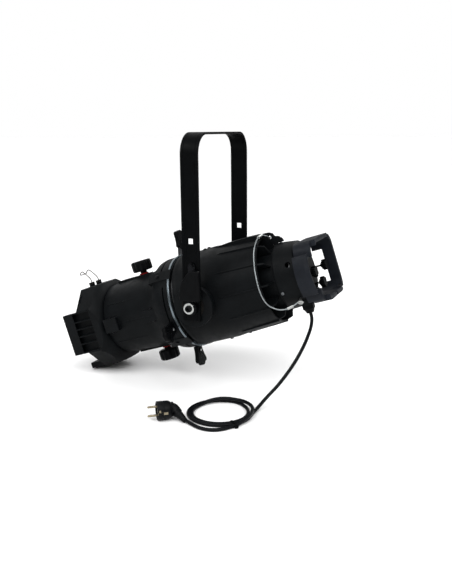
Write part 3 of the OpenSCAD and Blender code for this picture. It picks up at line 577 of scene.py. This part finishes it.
def make_safety_wire():
    """Seven-strand rope from the ear on the housing to the screw under the cap."""
    bm = bmesh.new()
    path = smooth_path(WIRE_ROUTE, 0.9)
    frames = path_frames(path)
    add_tube(bm, path, STRAND_R, 6)
    for strand in range(STRANDS):
        way = 0
        line = []
        for i, (point, (ahead, u, w)) in enumerate(zip(path, frames)):
            way += (point - path[i - 1]).length if i else 0
            a = 2 * math.pi * (strand / STRANDS + way / LAY_LENGTH)
            line.append(point + 2 * STRAND_R * 0.97 * (math.cos(a) * u + math.sin(a) * w))
        add_tube(bm, line, STRAND_R, 6)
    wire = finished(bm, "safety_wire_rope", LAMP, MATERIALS["wire_rope"], 60)
    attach(wire, "lamp_body")
    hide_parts("safety_wire")


CLIP_HALF = [
    (14.7, -314, 103.2), (14.7, -313, 111), (14.6, -315.5, 118), (14.4, -321, 126),
    (14.1, -328, 134.5), (13.8, -332, 137.5), (13.5, -336.5, 136), (12.8, -340, 132),
    (10.5, -341.3, 130.5), (5, -341.5, 130.3), (0, -341.5, 130.3),
]


def make_colour_clip():
    """Bent wire with the two bushes in which it turns."""
    bm = bmesh.new()
    route = CLIP_HALF + [(-x, y, z) for x, y, z in CLIP_HALF[-2::-1]]
    add_tube(bm, smooth_path(route, 1.5), 1.15, 12)
    barrel = [(0, -6.3), (1.2, -6.3), (1.2, -4), (2.2, -4), (2.4, -3.8), (2.4, 3.8), (2.2, 4),
              (1.2, 4), (1.2, 6.3), (0, 6.3)]
    for x in (-14.7, 14.7):
        place = Matrix.Translation((x, -314, 103.2)) @ Matrix.Rotation(math.pi / 2, 4, "Y")
        add_lathe(bm, barrel, place, 24)
    clip = finished(bm, "colour_clip_wire", LAMP, MATERIALS["spring_wire"], 50)
    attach(clip, "colour_clip")
    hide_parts("colour_clip")


make_safety_wire()
make_colour_clip()


# ---------- screws ----------

def add_screw(bm, place, head_r, head_h, shank_r, shank_l, drive="cross"):
    """Pan-head screw whose head stands on local Z = 0."""
    flank = head_h * 0.55
    crown = [(head_r, 0), (head_r, flank), (head_r * 0.86, head_h * 0.88), (head_r * 0.6, head_h)]
    foot = [(0, -shank_l), (shank_r, -shank_l), (shank_r, 0)]
    slot = head_r * 0.42
    if drive == "hex":
        socket = [(slot * 1.2, head_h), (slot * 1.2, head_h * 0.3), (0, head_h * 0.3)]
        add_lathe(bm, foot + crown + socket, place, 6 * 4)
        return
    add_lathe(bm, foot + crown + [(slot * 0.4, head_h), (0, head_h)], place, 24)
    # raised quadrants between the arms of the cross
    for i in range(4):
        turn = place @ Matrix.Rotation(i * math.pi / 2, 4, "Z")
        add_box(bm, (0.16 * head_r, 0.16 * head_r, head_h * 0.6),
                (0.5 * head_r, 0.5 * head_r, head_h * 1.12), turn)


def make_screws(name, node, body, material, screws):
    bm = bmesh.new()
    for place, head_r, head_h, shank_r, shank_l, drive in screws:
        add_screw(bm, place, head_r, head_h, shank_r, shank_l, drive)
    obj = finished(bm, name, LAMP, MATERIALS[material], 30)
    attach(obj, body)
    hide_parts(node)


def seam_screws():
    """Screws through the barrel's seam lugs and on the lugs that clamp the gate ring."""
    screws = []
    for side in (-1, 1):
        for y, x, lug in ((-241, 92, 16), (-126, 93, 13)):
            for way in (-1, 1):
                place = Matrix.Translation((side * x, y, way * lug))
                if way < 0:
                    place = place @ Matrix.Rotation(math.pi, 4, "X")
                screws.append((place, 4, 2.7, 2.05, lug, "cross" if way > 0 else "hex"))
    for angle in (46, 134, 226, 314):
        place = radial(angle, -96) @ Matrix.Translation((0, 0, 108.5))
        screws.append((place, 4.5, 2.4, 2, 6, "cross"))
    return screws


make_screws("barrel_seam_screws", "barrel_screws", "barrel", "black_screws", seam_screws())
make_screws("housing_side_screws", "housing_screws", "lamp_body", "black_screws",
            [(radial(a, y) @ Matrix.Translation((0, 0, r)), 4, 2.4, 2, 4, "cross")
             for a, y, r in ((84, 8, 105.9), (96, 8, 105.9), (264, 8, 105.9), (276, 8, 105.9),
                             (270, 52, 103.4))])
make_screws("cap_side_screws", "cap_screws", "lamp_body", "dull_steel",
            [(radial(a, 180) @ Matrix.Translation((0, 0, 73.2)), 3.5, 1.7, 1.5, 3, "cross")
             for a in (-22, 98, 218)])
make_screws("tether_screw", "wire_screw", "lamp_body", "bright_steel",
            [(radial(-44, 209) @ Matrix.Translation((0, 0, 79)), 6.4, 2.9, 3, 13, "cross")])


# Place along the lamp, angle round it and how far the shutter is drawn out at rest
SHUTTERS = {"top": (-89, 116, 30), "bottom": (-85, 276, 0), "near": (-81, -20, 0),
            "far": (-93, 184, 0)}
RIVET_REACH = 117


def make_rivets(shutter):
    """Domed rivet head on both faces of a shutter's handle."""
    y, angle, out = SHUTTERS[shutter]
    bm = bmesh.new()
    dome = [(0, -6.6), (1.6, -6.6), (1.6, 5.9), (3.6, 5.9), (3.5, 6.7), (2.8, 7.4), (1.5, 7.9),
            (0, 8)]
    for way in (-1, 1):
        place = (Matrix.Rotation(-math.radians(angle), 4, "Y")
                 @ Matrix.Translation((RIVET_REACH + out, y, 0))
                 @ Matrix.Rotation(-way * math.pi / 2, 4, "X"))
        add_lathe(bm, dome, place, 24)
    rivets = finished(bm, f"shutter_rivets_{shutter}", LAMP, MATERIALS["bright_steel"])
    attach(rivets, f"shutter_{shutter}")


for shutter_name in SHUTTERS:
    make_rivets(shutter_name)


# ---------- focus knobs ----------

KNOB_Y = -171
KNOB_LOBES = 12
KNOB_PROFILE = [
    (0, 74), (2.94, 74), (2.94, 79), (4, 79), (4, 93), (7.4, 93), (8, 93.6), (8, 97.2), (9, 98),
    (19.5, 98), (21.8, 98.5), (23.3, 99.8), (24, 102), (24, 105), (24, 110), (24, 115), (24, 118.6),
    (23.4, 121), (21.8, 122.6), (19.8, 123), (18.2, 122.8), (17.2, 121.8), (16.4, 120.6), (15, 120.1),
    (4.4, 120), (4, 121), (3, 121.4), (0, 121.4),
]


def make_focus_knob(end):
    """Scalloped knob with a dished face, on the stem that clamps the lens tube."""
    bm = bmesh.new()
    turn = 0 if end == "top" else math.pi
    place = Matrix.Rotation(turn, 4, "Y") @ Matrix.Translation((0, KNOB_Y, 0))
    add_lathe(bm, KNOB_PROFILE, place, 144, KNOB_LOBES, 1.9, 19)
    knob = finished(bm, f"focus_knob_{end}_scalloped", LAMP, MATERIALS["moulded_black"], 50)
    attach(knob, f"focus_knob_{end}")
    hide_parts(f"focus_knob_{end}")


make_focus_knob("top")
make_focus_knob("bottom")


# ---------- lenses, lamp and springs ----------

def lens_profile(edge, r, bulge):
    """Plano-convex: flat face at z = 0, curved face towards the front (-z)."""
    steps = 24
    curve = [(r * (1 - i / steps), -edge - bulge * (1 - (1 - i / steps) ** 2))
             for i in range(steps + 1)]
    return [(0, 0), (r, 0)] + curve


def make_lens(name, node, y, edge, r, bulge):
    bm = bmesh.new()
    place = Matrix.Translation((0, y, 0)) @ Matrix.Rotation(-math.pi / 2, 4, "X")
    add_lathe(bm, lens_profile(edge, r, bulge), place, 96)
    lens = finished(bm, name, LAMP, MATERIALS["lens_glass"], 40)
    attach(lens, "lens_tube")
    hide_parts(node)


make_lens("front_lens_glass", "front_lens", -248.2, 4, 74.9, 12)
make_lens("rear_lens_glass", "rear_lens", -180, 4, 74.9, 16)

KNOBS = ((38, -2), (-43, -1), (0, -32))  # alignment knobs, across and up


def make_springs():
    """Coil springs between the lamp carrier and the cap, one on each alignment screw."""
    bm = bmesh.new()
    turns, steps = 5, 20
    for x, z in KNOBS:
        helix = []
        for i in range(turns * steps + 1):
            a = 2 * math.pi * i / steps
            y = 206.6 + 12 * i / (turns * steps)
            helix.append(Vector((x + 4.3 * math.cos(a), y, z + 4.3 * math.sin(a))))
        add_tube(bm, helix, 0.6, 8)
    springs = finished(bm, "carrier_coil_springs", LAMP, MATERIALS["bright_steel"], 60)
    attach(springs, "lamp_body")
    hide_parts("carrier_springs")


make_springs()


# ---------- carried-over CAD nodes ----------

EDGE_WIDTH = {"lever_grip": 2.2, "shutter_handle_top": 1.4, "shutter_handle_bottom": 1.4,
              "shutter_handle_near": 1.4, "shutter_handle_far": 1.4, "yoke": 0.5,
              "align_knob_near": 1.0, "align_knob_far": 1.0, "align_knob_low": 1.0,
              "rear_guard": 0.9, "front_holder": 0.7}
NO_EDGE = {"shutter_blade_top", "shutter_blade_bottom", "shutter_blade_near",
           "shutter_blade_far", "shutter_plates", "lens_tube", "reflector"}
NODE_LOOK = {"rear_guard": "guard_black_painted_lit"}  # nodes that look unlike the rest of their slot; the rear guard gets a lighter, shinier copy of the cast paint, which is painted light


def dress_node(name, slot_name):
    """Gives a CAD node its material and softened edges."""
    obj = NODES[name]
    obj.data.materials.clear()
    obj.data.materials.append(MATERIALS[NODE_LOOK.get(name, slot_name)])
    obj.data.shade_smooth()
    weld = obj.modifiers.new("weld", "WELD")
    weld.merge_threshold = 0.00001
    if name not in NO_EDGE:
        bevel(obj, EDGE_WIDTH.get(name, 0.6))
    normals = obj.modifiers.new("normals", "WEIGHTED_NORMAL")
    normals.weight = 80
    normals.keep_sharp = True


SLOTS = {part["node"]: part["material_slot"] for part in frame["record"]["subparts"]}
for node_name, slot_name in SLOTS.items():
    dress_node(node_name, slot_name)


# ---------- floor and light ----------

FLOOR_SIZE = 120  # m
SUN_ANGLE = 60
# Name, strength, lean from overhead and heading in degrees
SUNS = (("key", 2.3, 40, 100), ("fill", 0.9, 50, -35), ("back", 0.9, 40, 220))


def make_stage():
    mesh = bpy.data.meshes.new("floor")
    half = FLOOR_SIZE / 2
    z = FLOOR * MM
    mesh.from_pydata([(-half, -half, z), (half, -half, z), (half, half, z), (-half, half, z)],
                     [], [(0, 1, 2, 3)])
    s = Shader("floor_white", Specular_IOR_Level=0.1, Roughness=0.8)
    s.link(s.mix(s.noise(900, 3), (0.93, 0.93, 0.93), (0.95, 0.95, 0.95)), "Base Color")
    mesh.materials.append(s.material)
    add_object("floor", mesh)


def add_area(name, place, aim, size, power):
    """Area light; place and aim are in metres and power in watts."""
    data = bpy.data.lights.new(name, "AREA")
    data.size = size
    data.energy = power
    obj = bpy.data.objects.new(name, data)
    bpy.context.scene.collection.objects.link(obj)
    place, aim = Vector(place), Vector(aim)
    turn = (aim - place).to_track_quat("-Z", "Y").to_matrix().to_4x4()
    obj.matrix_world = Matrix.Translation(place) @ turn


def make_light():
    scene = bpy.context.scene
    world = bpy.data.worlds.new("world")
    scene.world = world
    world.use_nodes = True
    tree = world.node_tree
    back = tree.nodes["Background"]
    back.inputs["Color"].default_value = (1, 1, 1, 1)
    # the backdrop is seen white, and lights the scene more weakly
    seen = tree.nodes.new("ShaderNodeLightPath")
    level = tree.nodes.new("ShaderNodeMapRange")
    level.inputs["To Min"].default_value = 0.16
    level.inputs["To Max"].default_value = 1.0
    tree.links.new(seen.outputs["Is Camera Ray"], level.inputs["Value"])
    tree.links.new(level.outputs["Result"], back.inputs["Strength"])
    for name, strength, lean, heading in SUNS:
        sun = bpy.data.lights.new(name, "SUN")
        sun.energy = strength
        sun.angle = math.radians(SUN_ANGLE)
        sun_obj = bpy.data.objects.new(name, sun)
        scene.collection.objects.link(sun_obj)
        sun_obj.rotation_euler = (math.radians(lean), 0, math.radians(heading))
    aim = (0, 0, -0.35)
    add_area("softbox", (1.6, -1.2, 1.3), aim, 1.0, 22)
    add_area("rear_softbox", (1.0, 1.7, 1.0), aim, 0.8, 14)
    add_area("far_softbox", (-1.8, 0.3, 1.2), aim, 1.2, 16)
    scene.view_settings.view_transform = "Standard"


make_stage()
make_light()
